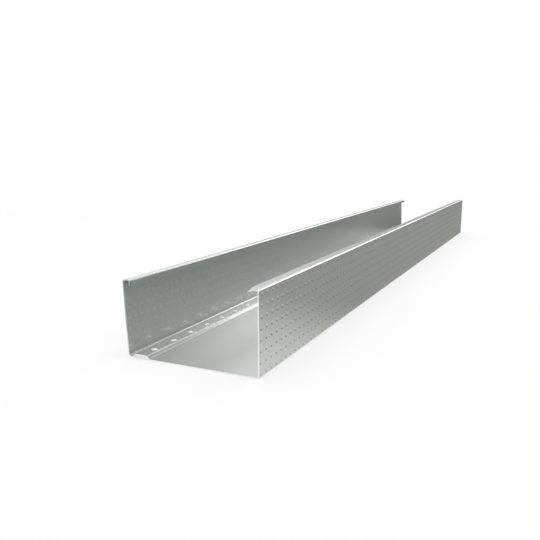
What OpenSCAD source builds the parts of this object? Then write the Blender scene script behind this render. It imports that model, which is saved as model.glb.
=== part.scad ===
// Drywall stud: one strip of galvanised sheet steel, roll-formed into a C section.
// The stud lies on its web with the open side up. X runs across the web, Y along the stud.
// Origin: on the underside of the web, midway between the flanges and midway along the stud.

/* [Stud] */
// Length of the stud
stud_l = 500; // [200:10:4000]
// Width over the two flanges, where they meet the web
web_w = 70; // [48:1:150]
// Thickness of the sheet
sheet = 0.6; // [0.5:0.05:1]

/* [Flanges] */
// Height of the flange on the +X side
right_flange_h = 38.5; // [30:0.5:60]
// Height of the flange on the -X side, a little less so that two studs box together
left_flange_h = 37.5; // [30:0.5:60]
// Angle in degrees that each flange springs open from square
flange_splay = 1; // [0:0.5:3]
// Inner radius of the bend between the web and the right flange
corner_r = 0.3; // [0.2:0.1:2]

/* [Lips] */
// Width of the right lip, from the outside of its flange
right_lip_w = 5.2; // [3:0.1:12]
// Width of the left lip, from the outside of its flange
left_lip_w = 4.2; // [3.6:0.1:12]
// Depth of the hem that the left lip turns down
left_hem_h = 2.6; // [2:0.1:8]
// Inner radius of the bends at the lips and the hem
lip_r = 0.5; // [0.2:0.1:0.7]

/* [Bead beside the left flange] */
// Height that the bead lifts the sheet off the floor
bead_rise = 1.5; // [1.4:0.1:2.5]
// Width of the flat on top of the bead
bead_flat_w = 5.8; // [5:0.1:12]
// Slope in degrees of the bead's side towards the web
bead_web_slope = 45; // [25:1:60]
// Slope in degrees of the bead's side towards the left flange
bead_foot_slope = 45; // [25:1:50]
// Inner radius of the bends at the bead
bead_r = 0.6; // [0.2:0.1:0.7]
// Inner radius of the rounded foot under the left flange
foot_r = 1.4; // [0.8:0.1:1.8]

/* [Dents along the bead] */
// Distance from one dent to the next
dent_pitch = 15.5; // [8:0.5:60]
// Distance from the near end of the stud to the middle of the first dent
dent_start = 9; // [5:0.5:30]
// Diameter of a dent at its rim
dent_d = 3.4; // [3:0.1:4.4]
// Depth of a dent
dent_depth = 1; // [0.5:0.1:1.1]
// Distance from a dent's rim to the edge of the flat on the web's side
dent_margin = 0; // [0:0.1:0.4]

/* [Hidden] */
$fn = 48;
// Turn in degrees of one facet of a bend
facet_turn = 10;
steel = [0.66, 0.68, 0.68];

// Distance on the sheet's outer face from the tangent of a bend to its sharp corner
function setback(r, turn) = (r + sheet) * tan(turn / 2);

// Straight part of a slope of a rising sheet, between two opposite bends of radii r1 and r2
function ramp(rise, r1, r2, slope) =
    (rise - (r1 + r2 + sheet) * (1 - cos(slope))) / sin(slope);

// Distance across a ramp, over both of its bends
function ramp_run(rise, r1, r2, slope) =
    (r1 + r2 + sheet) * sin(slope) + ramp(rise, r1, r2, slope) * cos(slope);

// The bends at the bottom and the top of a flange
base_turn = 90 - flange_splay;
top_turn = 90 + flange_splay;

// Where the bead's flat ends on its two sides, measured from the left flange's corner
flat_outer = setback(foot_r, base_turn) + ramp_run(bead_rise, bead_r, foot_r, bead_foot_slope);
flat_inner = flat_outer + bead_flat_w;
bead_w = flat_inner + ramp_run(bead_rise, bead_r, bead_r, bead_web_slope);

// The dents are parts of a ball, let into the bead's flat
dent_ball_r = (dent_d * dent_d / 4 + dent_depth * dent_depth) / (2 * dent_depth);
dent_x = flat_inner - dent_margin - dent_d / 2 - web_w / 2;
dent_count = floor((stud_l - 2 * dent_start) / dent_pitch) + 1;
bead_top = bead_rise + sheet;
// How far the underside of a dent reaches up into the sheet that it grows from
dent_root = 0.1;

// Straight run between the bends at the two ends of a flange
function flange_run(height, base_r) =
    height / cos(flange_splay) - setback(base_r, base_turn) - setback(lip_r, top_turn);

// The strip on each side of the web's middle, as it leaves the rolls:
// [straight run, turn after it in degrees, inner radius of that turn]
right_strip = [
    [web_w / 2 - setback(corner_r, base_turn), base_turn, corner_r],
    [flange_run(right_flange_h, corner_r), top_turn, lip_r],
    [right_lip_w - setback(lip_r, top_turn), 0, 0]
];
left_strip = [
    [web_w / 2 - bead_w, bead_web_slope, bead_r],
    [ramp(bead_rise, bead_r, bead_r, bead_web_slope), -bead_web_slope, bead_r],
    [bead_flat_w, -bead_foot_slope, bead_r],
    [ramp(bead_rise, bead_r, foot_r, bead_foot_slope), bead_foot_slope + base_turn, foot_r],
    [flange_run(left_flange_h, foot_r), top_turn, lip_r],
    [left_lip_w - setback(lip_r, top_turn) - setback(lip_r, 90), 90, lip_r],
    [left_hem_h - setback(lip_r, 90), 0, 0]
];

// Unit vectors along a strip that heads in the given direction, and across it to its inner side
function ahead(heading) = [cos(heading), sin(heading)];
function across(heading) = [-sin(heading), cos(heading)];
function reversed(points) = [for (i = [len(points) - 1:-1:0]) points[i]];
function mirrored(points) = [for (p = points) [-p.x, p.y]];

// One face of a strip, from its step i on: side is 0 for the outer face, sheet for the inner one.
// Each bend turns about its pivot, inside the section for a left turn and outside it for a right.
function face(strip, side, i = 0, at = [0, 0], heading = 0) =
    let (
        turn = strip[i][1],
        pivot = turn > 0 ? sheet + strip[i][2] : -strip[i][2],
        end = at + strip[i][0] * ahead(heading),
        centre = end + pivot * across(heading),
        facets = ceil(abs(turn) / facet_turn)
    )
    turn == 0
        ? [end + side * across(heading)]
        : concat(
            [for (k = [0:facets]) centre + (side - pivot) * across(heading + turn * k / facets)],
            face(strip, side, i + 1, centre - pivot * across(heading + turn), heading + turn)
        );

// Both halves as one outline: round the outside to each edge of the strip, and back inside
module section() {
    polygon(concat(
        face(right_strip, 0),
        reversed(face(right_strip, sheet)),
        mirrored(face(left_strip, sheet)),
        reversed(mirrored(face(left_strip, 0)))
    ));
}

// Places its children at each dent, at the centre of the ball that forms it
module at_dents() {
    for (i = [0:dent_count - 1])
        translate([dent_x, dent_start + i * dent_pitch - stud_l / 2, bead_top - dent_depth + dent_ball_r])
            children();
}

// Underside of one dent, about the centre of its ball
module dent_back() {
    back_r = dent_ball_r + sheet;
    intersection() {
        sphere(back_r);
        translate([-back_r, -back_r, -2 * back_r])
            cube([2 * back_r, 2 * back_r, 2 * back_r - dent_ball_r + dent_depth - sheet + dent_root]);
    }
}

module stud() {
    color(steel)
        difference() {
            union() {
                rotate([90, 0, 0]) linear_extrude(stud_l, center = true) section();
                at_dents() dent_back();
            }
            at_dents() sphere(dent_ball_r);
        }
}

stud();
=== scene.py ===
"""Drywall metal stud: the dressed sheet, its galvanised finish, the stage, the lamps and the camera.

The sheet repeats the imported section, folded from one strip, and adds the relief that the solid
leaves out: the flanges' screw dimples, a soft shoulder and a low burr round the bead's dents, and
the one corner of the right lip that is bent down. Lengths are in metres, but for names that end
in _MM, and angles in radians, but for names that end in _DEG or _deg.
"""

import math

import bmesh
import bpy
from mathutils import Euler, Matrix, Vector


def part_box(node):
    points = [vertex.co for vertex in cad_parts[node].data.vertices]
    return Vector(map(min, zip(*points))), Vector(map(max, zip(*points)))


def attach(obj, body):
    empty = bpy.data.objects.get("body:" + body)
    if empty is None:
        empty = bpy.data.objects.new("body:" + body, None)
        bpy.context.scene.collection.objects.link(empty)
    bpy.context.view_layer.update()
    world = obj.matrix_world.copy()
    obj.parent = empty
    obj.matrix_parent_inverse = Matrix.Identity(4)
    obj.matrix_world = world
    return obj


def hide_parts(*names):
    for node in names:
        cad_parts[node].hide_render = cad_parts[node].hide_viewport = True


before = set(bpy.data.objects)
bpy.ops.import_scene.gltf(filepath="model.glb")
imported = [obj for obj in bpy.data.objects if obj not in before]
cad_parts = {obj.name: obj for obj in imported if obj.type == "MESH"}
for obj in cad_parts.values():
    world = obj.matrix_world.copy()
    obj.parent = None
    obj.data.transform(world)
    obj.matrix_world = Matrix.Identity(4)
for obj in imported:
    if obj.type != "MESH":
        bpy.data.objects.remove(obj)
cad_low, cad_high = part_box("stud")
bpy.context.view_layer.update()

MM = 0.001
LENGTH = cad_high.y - cad_low.y
NEAR = cad_low.y
FAR = cad_high.y

# the section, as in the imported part
SHEET = 0.6 * MM
WEB_W = 70 * MM
RIGHT_H = cad_high.z - cad_low.z
LEFT_BELOW_RIGHT = 1.0 * MM
LEFT_H = RIGHT_H - LEFT_BELOW_RIGHT
SPLAY = math.radians(1)
CORNER_R = 0.3 * MM
LIP_R = 0.5 * MM
RIGHT_LIP_W = 5.2 * MM
LEFT_LIP_W = 4.2 * MM
LEFT_HEM_H = 2.6 * MM
BEAD_RISE = 1.5 * MM
BEAD_FLAT_W = 5.8 * MM
WEB_SLOPE = math.radians(45)
FOOT_SLOPE = math.radians(45)
BEAD_R = 0.6 * MM
FOOT_R = 1.4 * MM
DENT_PITCH = 15.5 * MM
DENT_START = 9 * MM
DENT_D = 3.4 * MM
DENT_DEPTH = 1.0 * MM
DENT_MARGIN = 0.0 * MM

BASE_TURN = math.pi / 2 - SPLAY
TOP_TURN = math.pi / 2 + SPLAY


# ---------------------------------------------------------------- the folded strip

def setback(radius, turn):
    """From the tangent of a bend to its sharp corner, on the sheet's outer face."""
    return (radius + SHEET) * math.tan(turn / 2)


def ramp(rise, r1, r2, slope):
    """Straight part of a slope between two opposite bends of inner radii r1 and r2."""
    return (rise - (r1 + r2 + SHEET) * (1 - math.cos(slope))) / math.sin(slope)


def ramp_run(rise, r1, r2, slope):
    """Width that such a slope takes with its two bends."""
    return (r1 + r2 + SHEET) * math.sin(slope) + ramp(rise, r1, r2, slope) * math.cos(slope)


def flange_run(height, base_r):
    """Straight part of a splayed flange of a given height."""
    return height / math.cos(SPLAY) - setback(base_r, BASE_TURN) - setback(LIP_R, TOP_TURN)


FLAT_OUTER = setback(FOOT_R, BASE_TURN) + ramp_run(BEAD_RISE, BEAD_R, FOOT_R, FOOT_SLOPE)
FLAT_INNER = FLAT_OUTER + BEAD_FLAT_W
BEAD_W = FLAT_INNER + ramp_run(BEAD_RISE, BEAD_R, BEAD_R, WEB_SLOPE)

# each fold: name of the straight run, its length, the turn after it and that bend's inner radius
RIGHT_STRIP = [
    ("web_right", WEB_W / 2 - setback(CORNER_R, BASE_TURN), BASE_TURN, CORNER_R),
    ("right_flange", flange_run(RIGHT_H, CORNER_R), TOP_TURN, LIP_R),
    ("right_lip", RIGHT_LIP_W - setback(LIP_R, TOP_TURN), 0, 0),
]
LEFT_STRIP = [
    ("web_left", WEB_W / 2 - BEAD_W, WEB_SLOPE, BEAD_R),
    ("bead_slope", ramp(BEAD_RISE, BEAD_R, BEAD_R, WEB_SLOPE), -WEB_SLOPE, BEAD_R),
    ("bead_flat", BEAD_FLAT_W, -FOOT_SLOPE, BEAD_R),
    ("foot_slope", ramp(BEAD_RISE, BEAD_R, FOOT_R, FOOT_SLOPE), FOOT_SLOPE + BASE_TURN, FOOT_R),
    ("left_flange", flange_run(LEFT_H, FOOT_R), TOP_TURN, LIP_R),
    ("left_lip", LEFT_LIP_W - setback(LIP_R, TOP_TURN) - setback(LIP_R, math.pi / 2),
     math.pi / 2, LIP_R),
    ("left_hem", LEFT_HEM_H - setback(LIP_R, math.pi / 2), 0, 0),
]

BEND_STEP = math.radians(9)
BEND_STEPS_MIN = 2
SUPPORT = 0.06 * MM     # a line this near to each bend keeps the straight run flat
# a straight run's pieces between its supports: how many, and over what length (None: all of it)
CUTS = {"bead_flat": (19, 4.0 * MM), "bead_slope": (4, None), "web_right": (3, None),
        "web_left": (3, None), "right_lip": (4, None)}


class Station:
    """One line along the stud: a point of the outer face and the way through the sheet."""

    def __init__(self, x, z, through_x, through_z, span):
        self.x, self.z, self.tx, self.tz, self.span = x, z, through_x, through_z, span

    def mirrored(self):
        return Station(-self.x, self.z, -self.tx, self.tz, self.span)

    def point(self, side, y):
        """Its point at y, on the outer face for side 0 and on the inner one for side 1."""
        depth = SHEET if side else 0.0
        return (self.x + self.tx * depth, y, self.z + self.tz * depth)


def stations(strip):
    """The lines of one strip, from the web's middle out to its free edge."""
    found = []
    x = z = heading = 0.0
    for name, run, turn, radius in strip:
        ahead = (math.cos(heading), math.sin(heading))
        across = (-ahead[1], ahead[0])
        cuts, reach = CUTS.get(name, (1, None))
        inset = min(SUPPORT, run / 4)
        reach = reach or run - 2 * inset
        marks = [0.0, inset]
        marks += [inset + reach * k / cuts for k in range(1, cuts)]
        marks += [run - inset, run]
        if found:
            marks = marks[1:]
        for mark in marks:
            found.append(Station(x + ahead[0] * mark, z + ahead[1] * mark, *across, name))
        x, z = x + ahead[0] * run, z + ahead[1] * run
        if turn:
            pivot = SHEET + radius if turn > 0 else -radius
            cx, cz = x + pivot * across[0], z + pivot * across[1]
            steps = max(BEND_STEPS_MIN, math.ceil(abs(turn) / BEND_STEP))
            for k in range(1, steps + 1):
                now = heading + turn * k / steps
                way = (-math.sin(now), math.cos(now))
                found.append(Station(cx - pivot * way[0], cz - pivot * way[1], *way, name + "_bend"))
            heading += turn
            x, z = found[-1].x, found[-1].z
    return found


RIGHT = stations(RIGHT_STRIP)
LEFT = [s.mirrored() for s in stations(LEFT_STRIP)][1:]
CHAIN = RIGHT[::-1] + LEFT


# ---------------------------------------------------------------- lines along the stud

OVERRUN = 4 * MM        # the sheet is made this much too long at each end and cut afterwards
END_STEPS_MM = [0, 0.7, 1.5, 2.5, 3.5, 4.5, 6, 9]
PLAIN_STEP = 25 * MM


def plain_steps():
    """Where a plain line has its points, closer at the near end, where the lip's corner bends."""
    low = [NEAR - OVERRUN] + [NEAR + step * MM for step in END_STEPS_MM]
    middle = [NEAR + PLAIN_STEP * k for k in range(1, round(LENGTH / PLAIN_STEP))]
    return low + middle + [FAR, FAR + OVERRUN]


DENT_COUNT = math.floor((LENGTH - 2 * DENT_START) / DENT_PITCH) + 1
DENTS_Y = [NEAR + DENT_START + k * DENT_PITCH for k in range(DENT_COUNT)]
DENT_X = -(WEB_W / 2) + FLAT_INNER - DENT_MARGIN - DENT_D / 2
DENT_BALL_R = (DENT_D ** 2 / 4 + DENT_DEPTH ** 2) / (2 * DENT_DEPTH)
DENT_BALL_Z = BEAD_RISE + SHEET - DENT_DEPTH + DENT_BALL_R
DENT_HALF_STEPS_MM = [0.2, 0.5, 0.8, 1.05, 1.3, 1.5, 1.7, 1.9, 2.3]
DENT_STEPS_MM = [-step for step in reversed(DENT_HALF_STEPS_MM)] + DENT_HALF_STEPS_MM
DENT_SHOULDER = 0.12 * MM
DENT_BURR = 0.12 * MM
DENT_BURR_W = 0.35 * MM
BEAD_FIRST_STEP = 3 * MM


def bead_steps():
    """Where a line through the dents has its points."""
    steps = [NEAR - OVERRUN, NEAR, NEAR + BEAD_FIRST_STEP]
    for y in DENTS_Y:
        steps += [y + step * MM for step in DENT_STEPS_MM]
    return steps + [FAR, FAR + OVERRUN]


def soft_min(a, b, reach):
    """The lower of a and b, rounded where they meet."""
    h = max(reach - abs(a - b), 0.0) / reach
    return min(a, b) - h * h * reach / 4


def dented(point, side):
    """A point of the bead, pushed down by the nearest dent's ball and raised by its burr."""
    x, y, z = point
    nearest = min(DENTS_Y, key=lambda centre: abs(centre - y))
    away = math.hypot(x - DENT_X, y - nearest)
    ball_r = DENT_BALL_R if side else DENT_BALL_R + SHEET
    if away >= ball_r or abs(y - nearest) > DENT_D:
        return point
    ball = DENT_BALL_Z - math.sqrt(ball_r ** 2 - away ** 2)
    burr = DENT_BURR * math.exp(-((away - DENT_D / 2) / DENT_BURR_W) ** 2)
    return (x, y, soft_min(z, ball, DENT_SHOULDER) + burr)


# ---------------------------------------------------------------- building the mesh

mesh = bmesh.new()
ring_mark = mesh.verts.layers.int.new("ring")   # which ring of a dimple a point is on, 0 for none
SAME_Y = 0.3 * MM       # points of neighbouring lines that are nearer than this are joined straight


def add_line(station, side, steps, dent=False):
    row = []
    for y in steps:
        point = station.point(side, y)
        row.append(mesh.verts.new(dented(point, side) if dent else point))
    return row


def face(*verts):
    mesh.faces.new(verts)


def stitch(a, b):
    """Faces between two lines of points along the stud, whatever their spacing."""
    i = j = 0
    while i < len(a) - 1 or j < len(b) - 1:
        next_a = a[i + 1].co.y if i < len(a) - 1 else math.inf
        next_b = b[j + 1].co.y if j < len(b) - 1 else math.inf
        if abs(next_a - next_b) < SAME_Y:
            face(a[i], a[i + 1], b[j + 1], b[j])
            i, j = i + 1, j + 1
        elif next_a < next_b:
            face(a[i], a[i + 1], b[j])
            i += 1
        else:
            face(a[i], b[j + 1], b[j])
            j += 1


DIMPLE_PITCH_Y = 4.95 * MM
DIMPLE_PITCH_Z = 4.9 * MM
DIMPLE_DEPTH = 0.3 * MM
# the rim and the tip of a dimple: radius in mm and share of the depth, on face 0 (outer) and 1 (inner)
RINGS = {0: [(0.98, 0.0), (0.2, 1.0)], 1: [(0.85, 0.0), (0.3, 0.45)]}
RING_SIDES = 8
# the corners and the middles of a dimple's cell, in the order of its rings' points
CELL = [(1, 0), (1, 1), (0, 1), (-1, 1), (-1, 0), (-1, -1), (0, -1), (1, -1)]


def dimple_field(low, high, side, rows, first_y, drift):
    """A flange's face from line low to line high, with a pressed dimple in each cell.

    rows are the rows' heights, first_y the lowest row's first column and drift how far the
    columns move along the stud from one row to the next. Returns the field's two outer lines.
    """
    span = high.z - low.z
    lattice_z = [low.z]
    for k, row_z in enumerate(rows):
        lattice_z.append(row_z)
        if k < len(rows) - 1:
            lattice_z.append((row_z + rows[k + 1]) / 2)
    lattice_z.append(high.z)
    back = 1            # columns before the near end, which are cut off with the overrun
    columns = math.ceil((LENGTH + OVERRUN) / DIMPLE_PITCH_Y) + 1 + back

    def at(y, z, press=0.0):
        share = (z - low.z) / span
        depth = press + (SHEET if side else 0.0)
        x = low.x + (high.x - low.x) * share + low.tx * depth
        return (x, y, z + low.tz * depth)

    def along(i, j):
        """Place along the stud of a grid point; a dimple's middle has i and j odd."""
        return NEAR + first_y + (i / 2 - 0.5 - back) * DIMPLE_PITCH_Y + drift * (j - 1) / 2

    grid = {}
    for j, z in enumerate(lattice_z):
        for i in range(2 * columns + 1):
            if i % 2 == 0 or j % 2 == 0:
                grid[i, j] = mesh.verts.new(at(along(i, j), z))
    for r, row_z in enumerate(rows):
        for c in range(columns):
            i, j = 2 * c + 1, 2 * r + 1
            centre_y = along(i, j)
            outline = [grid[i + di, j + dj] for di, dj in CELL]
            for mark, (reach, share) in enumerate(RINGS[side], start=1):
                ring = []
                for k in range(RING_SIDES):
                    angle = 2 * math.pi * k / RING_SIDES
                    ring.append(mesh.verts.new(at(
                        centre_y + reach * MM * math.cos(angle),
                        row_z + reach * MM * math.sin(angle), share * DIMPLE_DEPTH)))
                    ring[-1][ring_mark] = mark
                for k in range(RING_SIDES):
                    n = (k + 1) % RING_SIDES
                    face(outline[k], outline[n], ring[n], ring[k])
                outline = ring
            face(*outline)
    width = 2 * columns + 1
    last = len(lattice_z) - 1
    return [grid[i, 0] for i in range(width)], [grid[i, last] for i in range(width)]


def dimple_rows(first_z, count):
    return [first_z + DIMPLE_PITCH_Z * k for k in range(count)]


RIGHT_ROWS = dimple_rows(2.1 * MM, count=8)
LEFT_ROWS = dimple_rows(4.4 * MM, count=7)
RIGHT_FIRST_Y = 1.05 * MM
LEFT_FIRST_Y = 1.3 * MM
RIGHT_DRIFT = 0.24 * MM
DENTED_SPANS = ("bead_flat", "bead_slope_bend")


def opens_field(k):
    """Whether the dimples lie between line k and the next."""
    here = CHAIN[k]
    after = CHAIN[min(k + 1, len(CHAIN) - 1)]
    return here.span == after.span and abs(after.z - here.z) > LEFT_H / 2


def skin(side):
    """One face of the sheet, from the right lip's free edge to the left hem's."""
    plain, bead = plain_steps(), bead_steps()
    first = previous = None
    k = 0
    while k < len(CHAIN):
        station = CHAIN[k]
        if opens_field(k):
            low, high = sorted((station, CHAIN[k + 1]), key=lambda s: s.z)
            if station.span == "right_flange":
                rows = dimple_field(low, high, side, RIGHT_ROWS, RIGHT_FIRST_Y, RIGHT_DRIFT)
            else:
                rows = dimple_field(low, high, side, LEFT_ROWS, LEFT_FIRST_Y, drift=0.0)
            rows = rows if low is station else rows[::-1]
            k += 2
        else:
            dent = station.span in DENTED_SPANS
            rows = [add_line(station, side, bead if dent else plain, dent)]
            k += 1
        if previous is not None:
            stitch(previous, rows[0])
        first = first or rows[0]
        previous = rows[-1]
    return first, previous


outer_first, outer_last = skin(0)
inner_first, inner_last = skin(1)
stitch(outer_first, inner_first)
stitch(outer_last, inner_last)

ON_PLANE = 1e-7         # a point this near to the cut's plane is on it
ON_RIM = 1e-6           # and one this near belongs to the rim that the cut leaves


def cut_square(end, way):
    """Cuts the sheet off at one end and closes the cut with even triangles."""
    bmesh.ops.bisect_plane(
        mesh, geom=mesh.verts[:] + mesh.edges[:] + mesh.faces[:], dist=ON_PLANE,
        plane_co=(0, end, 0), plane_no=(0, way, 0), clear_outer=True)
    rim = [edge for edge in mesh.edges if edge.is_boundary
           and all(abs(v.co.y - end) < ON_RIM for v in edge.verts)]
    caps = bmesh.ops.holes_fill(mesh, edges=rim, sides=0)["faces"]
    caps = bmesh.ops.triangulate(mesh, faces=caps, ngon_method="EAR_CLIP")["faces"]
    in_cap = set(caps)
    inner = [edge for edge in mesh.edges if in_cap.issuperset(edge.link_faces)]
    bmesh.ops.beautify_fill(mesh, faces=caps, edges=inner)


cut_square(NEAR, -1)
cut_square(FAR, 1)

# the right lip's free corner is bent down a little at the near end
DROOP = 0.85 * MM
DROOP_REACH_X = 2.1 * MM
DROOP_REACH_Y = 5.5 * MM
LIP_EDGE_X = cad_high.x - RIGHT_LIP_W
LIP_MARGIN = 1.0 * MM


def ease(t):
    """From 0 to 1 with a soft start and end."""
    t = min(max(t, 0.0), 1.0)
    return t * t * (3 - 2 * t)


for vert in mesh.verts:
    if vert.co.x > LIP_EDGE_X - LIP_MARGIN and vert.co.z > RIGHT_H - LIP_MARGIN:
        inward = ease(1 - (vert.co.x - LIP_EDGE_X) / DROOP_REACH_X)
        endward = ease(1 - (vert.co.y - NEAR) / DROOP_REACH_Y)
        vert.co.z -= DROOP * inward * endward

# edges are sharp at a steep fold and along a dimple's rings. Faces that look along the stud, which
# are the cut ends and the steep walls of the bead's dents, get a much lighter steel: a painted highlight,
# which on the cut ends also stands for their bare steel.
SHARP = math.radians(50)
LOOKS_ALONG = math.cos(math.radians(50))
CUT_AND_HIGHLIGHT_SLOT = 1
bmesh.ops.recalc_face_normals(mesh, faces=mesh.faces)
for edge in mesh.edges:
    a, b = (vert[ring_mark] for vert in edge.verts)
    edge.smooth = edge.calc_face_angle(0) < SHARP and not (a and a == b)
for skin_face in mesh.faces:
    skin_face.smooth = True
    if abs(skin_face.normal.y) > LOOKS_ALONG:
        skin_face.material_index = CUT_AND_HIGHLIGHT_SLOT

LARGE_FACE_WEIGHT = 80
sheet_data = bpy.data.meshes.new("stud_sheet")
mesh.to_mesh(sheet_data)
mesh.free()
stud = bpy.data.objects.new("stud_sheet", sheet_data)
bpy.context.scene.collection.objects.link(stud)
even = stud.modifiers.new("even_shading", "WEIGHTED_NORMAL")
even.keep_sharp = True
even.weight = LARGE_FACE_WEIGHT
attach(stud, "root")
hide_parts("stud")


# ---------------------------------------------------------------- materials

NEUTRAL = (1.0, 1.0, 1.0)
COOL = (0.98, 1.0, 1.08)
WARM = (1.0, 0.995, 0.955)


def new_material(name):
    """An empty material and its tree of nodes."""
    material = bpy.data.materials.new(name)
    material.use_nodes = True
    material.node_tree.nodes.clear()
    return material, material.node_tree


def add_node(tree, kind, inputs=None, **settings):
    """A new node; inputs gives each named or numbered input a plain value or another's output."""
    node = tree.nodes.new(kind)
    for name, value in settings.items():
        setattr(node, name, value)
    for key, value in (inputs or {}).items():
        if isinstance(value, bpy.types.NodeSocket):
            tree.links.new(value, node.inputs[key])
        else:
            node.inputs[key].default_value = value
    return node


def math_node(tree, operation, a, b):
    return add_node(tree, "ShaderNodeMath", {0: a, 1: b}, operation=operation).outputs["Value"]


def map_range(tree, value, low, high, start=0.0, end=1.0, shape="LINEAR"):
    """Goes from low to high as value goes from start to end."""
    return add_node(tree, "ShaderNodeMapRange", {
        "Value": value, "From Min": start, "From Max": end, "To Min": low, "To Max": high,
    }, interpolation_type=shape).outputs["Result"]


def mix_colour(tree, factor, first, last):
    return add_node(tree, "ShaderNodeMix", {
        "Factor": factor, "A": (*first, 1), "B": (*last, 1)}, data_type="RGBA").outputs["Result"]


METALLIC = 0.85
SPANGLE_SCALE = 900.0
CLOUD_SCALE = 60.0
CLOUD_SHARE = 0.5
GRAIN_SCALE = 1400.0
GRAIN_DEPTH = 0.01 * MM
GRAIN_STRENGTH = 0.25
NOISE_DETAIL = 2.0


def galvanised_steel(name, dark, light, smooth, rough):
    """Zinc with a dull film: its colour wanders from dark to light, its roughness from smooth to rough."""
    material, tree = new_material(name)
    place = add_node(tree, "ShaderNodeTexCoord").outputs["Object"]

    def noise(scale):
        return add_node(tree, "ShaderNodeTexNoise", {
            "Vector": place, "Scale": scale, "Detail": NOISE_DETAIL}).outputs["Fac"]

    # fine crystals of zinc, each a shade lighter or darker and a little duller or glossier
    spangle = add_node(tree, "ShaderNodeTexVoronoi", {"Vector": place, "Scale": SPANGLE_SCALE})
    crystal = add_node(tree, "ShaderNodeSeparateColor", {"Color": spangle.outputs["Color"]}).outputs
    tone = add_node(tree, "ShaderNodeMix", {
        "Factor": CLOUD_SHARE, "A": crystal["Red"], "B": noise(CLOUD_SCALE)}, data_type="FLOAT")
    grain = add_node(tree, "ShaderNodeBump", {
        "Distance": GRAIN_DEPTH, "Strength": GRAIN_STRENGTH, "Height": noise(GRAIN_SCALE)})
    shader = add_node(tree, "ShaderNodeBsdfPrincipled", {
        "Metallic": METALLIC,
        "Base Color": mix_colour(tree, tone.outputs["Result"], dark, light),
        "Roughness": map_range(tree, crystal["Green"], smooth, rough),
        "Normal": grain.outputs["Normal"]})
    add_node(tree, "ShaderNodeOutputMaterial", {"Surface": shader.outputs["BSDF"]})
    return material


FLOOR_DARK = (0.955, 0.955, 0.955)
FLOOR_LIGHT = (0.975, 0.975, 0.975)
FLOOR_GRAIN_SCALE = 300.0
FLOOR_WHITE = 0.6
SHADOW_END = 0.45       # from the stud's middle; the floor seen past it grows plain white
WHITE_FROM = 1.1        # and is plain white from here on


def pale_floor():
    """Pale paint, of which the camera and the metal see a part as plain white.

    That keeps its shadows pale, and well past the stud's shadow the camera sees plain white
    alone, so no far edge shows.
    """
    material, tree = new_material("pale_floor")
    grain = add_node(tree, "ShaderNodeTexNoise", {"Scale": FLOOR_GRAIN_SCALE})
    paint = add_node(tree, "ShaderNodeBsdfDiffuse", {
        "Color": mix_colour(tree, grain.outputs["Fac"], FLOOR_DARK, FLOOR_LIGHT)})
    white = add_node(tree, "ShaderNodeEmission", {"Color": (*NEUTRAL, 1)})
    ray = add_node(tree, "ShaderNodeLightPath").outputs
    place = add_node(tree, "ShaderNodeTexCoord").outputs["Object"]
    reach = add_node(tree, "ShaderNodeVectorMath", {0: place}, operation="LENGTH").outputs["Value"]
    far_white = map_range(tree, reach, FLOOR_WHITE, 1.0, SHADOW_END, WHITE_FROM, "SMOOTHSTEP")
    for_camera = math_node(tree, "MULTIPLY", ray["Is Camera Ray"], far_white)
    for_metal = math_node(tree, "MULTIPLY", ray["Is Glossy Ray"], FLOOR_WHITE)
    seen = add_node(tree, "ShaderNodeMixShader", {
        "Fac": math_node(tree, "MAXIMUM", for_camera, for_metal),
        1: paint.outputs["BSDF"], 2: white.outputs["Emission"]})
    add_node(tree, "ShaderNodeOutputMaterial", {"Surface": seen.outputs["Shader"]})
    return material


sheet_data.materials.append(galvanised_steel(
    "galvanised_sheet", dark=(0.608, 0.634, 0.612), light=(0.646, 0.673, 0.650),
    smooth=0.235, rough=0.265))
# the much lighter steel of the cut ends and the dents' steep walls: a painted highlight on both, and on
# the cut ends also their bare steel
sheet_data.materials.append(galvanised_steel(
    "cut_edge_and_painted_highlight", dark=(0.86, 0.87, 0.85), light=(0.92, 0.93, 0.91), smooth=0.32, rough=0.40))


# ---------------------------------------------------------------- floor and cards

def stage_piece(name, corners, faces, material):
    """A piece of the stage, which isn't part of the stud."""
    data = bpy.data.meshes.new(name)
    data.from_pydata(corners, [], faces)
    data.materials.append(material)
    piece = bpy.data.objects.new(name, data)
    bpy.context.scene.collection.objects.link(piece)
    return piece


def panel(name, x0, x1, y0, y1, z, material):
    corners = [(x0, y0, z), (x1, y0, z), (x1, y1, z), (x0, y1, z)]
    return stage_piece(name, corners, [(0, 1, 2, 3)], material)


def add_glow(tree, level, tint):
    """Makes a card's material glow; level and tint are plain values or outputs of its nodes."""
    glow = add_node(tree, "ShaderNodeEmission", {"Color": tint, "Strength": level})
    add_node(tree, "ShaderNodeOutputMaterial", {"Surface": glow.outputs["Emission"]})


def card_material(name, level):
    """A card's even grey glow."""
    material, tree = new_material(name)
    add_glow(tree, level, (*NEUTRAL, 1))
    return material


def graded_material(name, axis, start, end, levels, tints=(NEUTRAL, NEUTRAL), shape="LINEAR"):
    """A card's glow that goes from the first of levels and tints to the last along one axis."""
    material, tree = new_material(name)
    place = add_node(tree, "ShaderNodeTexCoord").outputs["Object"]
    axes = add_node(tree, "ShaderNodeSeparateXYZ", {"Vector": place}).outputs
    share = map_range(tree, axes[axis], 0.0, 1.0, start, end, shape)
    level = map_range(tree, share, *levels)
    tint = (*tints[0], 1) if tints[0] == tints[1] else mix_colour(tree, share, *tints)
    add_glow(tree, level, tint)
    return material


def as_card(card):
    """Only the metal's reflections see a card."""
    card.visible_camera = False
    card.visible_diffuse = False
    card.visible_shadow = False
    card.visible_transmission = False
    card.visible_volume_scatter = False
    return card


FLOOR_HALF = 6.0
FLOOR_DROP = 0.05 * MM
panel("floor", -FLOOR_HALF, FLOOR_HALF, -FLOOR_HALF, FLOOR_HALF, -FLOOR_DROP, pale_floor())

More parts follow.
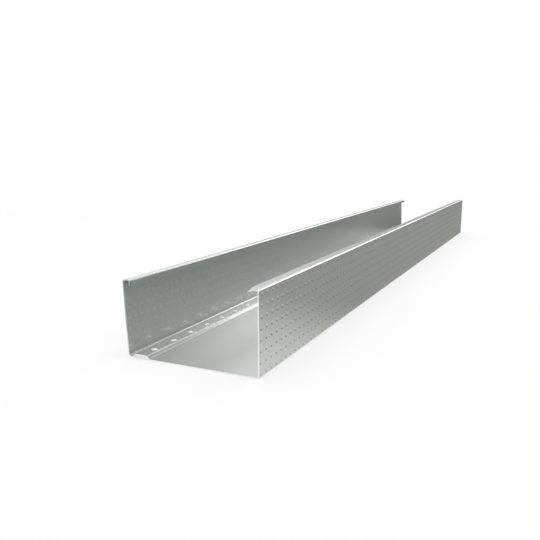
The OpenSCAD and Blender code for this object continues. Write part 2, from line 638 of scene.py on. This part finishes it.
CARD_LIFT = 0.1 * MM
CARD_REACH = 3.0
CARD_GAP = 1.2 * MM
CARD_FADE = 0.148
CARD_INNER_X = WEB_W / 2 + CARD_GAP
FRONT_CARD_X = 0.065
floor_grey = graded_material("card_floor", "Y", NEAR, NEAR + CARD_FADE, levels=(0.835, 0.325),
                             tints=(WARM, WARM), shape="SMOOTHSTEP")
as_card(panel("card_right", CARD_INNER_X, CARD_REACH, NEAR, CARD_REACH, CARD_LIFT, floor_grey))
as_card(panel("card_left", -CARD_REACH, -CARD_INNER_X, NEAR, CARD_REACH, CARD_LIFT, floor_grey))
as_card(panel("card_behind", -CARD_INNER_X, CARD_INNER_X, FAR + CARD_GAP, CARD_REACH, CARD_LIFT,
              card_material("card_behind", level=0.21)))
as_card(panel("card_front_left", -CARD_REACH, -FRONT_CARD_X, -CARD_REACH, NEAR, CARD_LIFT,
              card_material("card_front_left", level=0.2)))

HORIZON_R = 2.9
HORIZON_STEPS = 24


def horizon_x(azimuth_deg):
    """How far to the right the horizon lies at an azimuth, which is counted from +Y towards +X."""
    return HORIZON_R * math.sin(math.radians(azimuth_deg))


def horizon_z(height_deg):
    """How high a point of the horizon card lies that is seen at an angle above the floor."""
    return HORIZON_R * math.tan(math.radians(height_deg))


def horizon_card(azimuths_deg, heights_deg, material):
    """A curved card round the back of the stage, named as its material."""
    first, last = azimuths_deg
    corners, faces = [], []
    for k in range(HORIZON_STEPS + 1):
        turn = math.radians(first + (last - first) * k / HORIZON_STEPS)
        for height_deg in heights_deg:
            corners.append((HORIZON_R * math.sin(turn), HORIZON_R * math.cos(turn), horizon_z(height_deg)))
    for k in range(HORIZON_STEPS):
        faces.append((2 * k, 2 * k + 2, 2 * k + 3, 2 * k + 1))
    as_card(stage_piece(material.name, corners, faces, material))


horizon_card((-90, -8), (0, 20), graded_material(
    "card_left_back", "X", horizon_x(-44), horizon_x(-14), levels=(1.0, 0.38), tints=(COOL, NEUTRAL)))
horizon_card((-8, 8), (0, 15), graded_material(
    "card_middle", "Z", horizon_z(0), horizon_z(15), levels=(0.3, 0.95)))
horizon_card((8, 90), (0, 14), graded_material(
    "card_right_back", "Z", horizon_z(8), horizon_z(14), levels=(0.06, 0.95)))
horizon_card((33, 90), (14, 34), card_material("card_right_side", level=0.62))
horizon_card((4, 60), (31, 43), card_material("card_high_right", level=0.12))
horizon_card((-26, 4), (33, 45), card_material("card_high_left", level=2.2))

TOP_Z = 1.25
TOP_HALF = 0.95
as_card(panel("card_top", -TOP_HALF, TOP_HALF, -TOP_HALF, TOP_HALF, TOP_Z,
              card_material("card_top", level=1.45)))


# ---------------------------------------------------------------- light and camera

AMBIENT = 0.83
world = bpy.data.worlds.new("studio")
bpy.context.scene.world = world
world.use_nodes = True
sky_tree = world.node_tree
sky_tree.nodes.clear()
rays = add_node(sky_tree, "ShaderNodeLightPath").outputs
sees_white = math_node(sky_tree, "MAXIMUM", rays["Is Camera Ray"], rays["Is Glossy Ray"])
sees_white = math_node(sky_tree, "MAXIMUM", sees_white, rays["Is Transmission Ray"])
sky = add_node(sky_tree, "ShaderNodeBackground", {
    "Color": (*NEUTRAL, 1), "Strength": map_range(sky_tree, sees_white, AMBIENT, 1.0)})
add_node(sky_tree, "ShaderNodeOutputWorld", {"Surface": sky.outputs["Background"]})


def softbox(name, place, aim, width, height, level, tint=NEUTRAL):
    """A soft lamp; level is how bright its face looks beside white."""
    data = bpy.data.lights.new(name, "AREA")
    data.shape = "RECTANGLE"
    data.size = width
    data.size_y = height
    data.color = tint
    data.energy = level * math.pi * width * height
    lamp = bpy.data.objects.new(name, data)
    lamp.location = place
    lamp.rotation_euler = (Vector(aim) - Vector(place)).to_track_quat("-Z", "Y").to_euler()
    bpy.context.scene.collection.objects.link(lamp)
    return lamp


top = softbox("softbox_top", place=(0.0, 0.1, 1.2), aim=(0.0, 0.0, 0.0),
              width=1.2, height=1.2, level=0.8)
top.visible_glossy = False      # card_top is what the metal sees overhead
softbox("softbox_back", place=(0.46, 1.99, 0.896), aim=(0.0, -0.15, 0.0),
        width=1.45, height=0.72, level=1.5, tint=WARM)

CAMERA_X = 0.145989
CAMERA_BEFORE_NEAR_END = 0.205242
CAMERA_Z = 0.091767
CAMERA_AZIMUTH_DEG = 27.098
CAMERA_DROP_DEG = 10.935
CAMERA_ROLL_DEG = -1.115
SENSOR_MM = 36.0
LENS_MM = 39.168
CLIP_START = 0.01
camera_data = bpy.data.cameras.new("camera")
camera_data.sensor_width = SENSOR_MM
camera_data.lens = LENS_MM
camera_data.clip_start = CLIP_START
camera = bpy.data.objects.new("camera", camera_data)
camera.location = (CAMERA_X, NEAR - CAMERA_BEFORE_NEAR_END, CAMERA_Z)
turned = Euler((math.radians(90 - CAMERA_DROP_DEG), 0, math.radians(CAMERA_AZIMUTH_DEG)))
rolled = Euler((0, 0, math.radians(CAMERA_ROLL_DEG)))
camera.rotation_euler = (turned.to_matrix() @ rolled.to_matrix()).to_euler()
bpy.context.scene.collection.objects.link(camera)
bpy.context.scene.camera = camera
bpy.context.scene.view_settings.view_transform = "Standard"
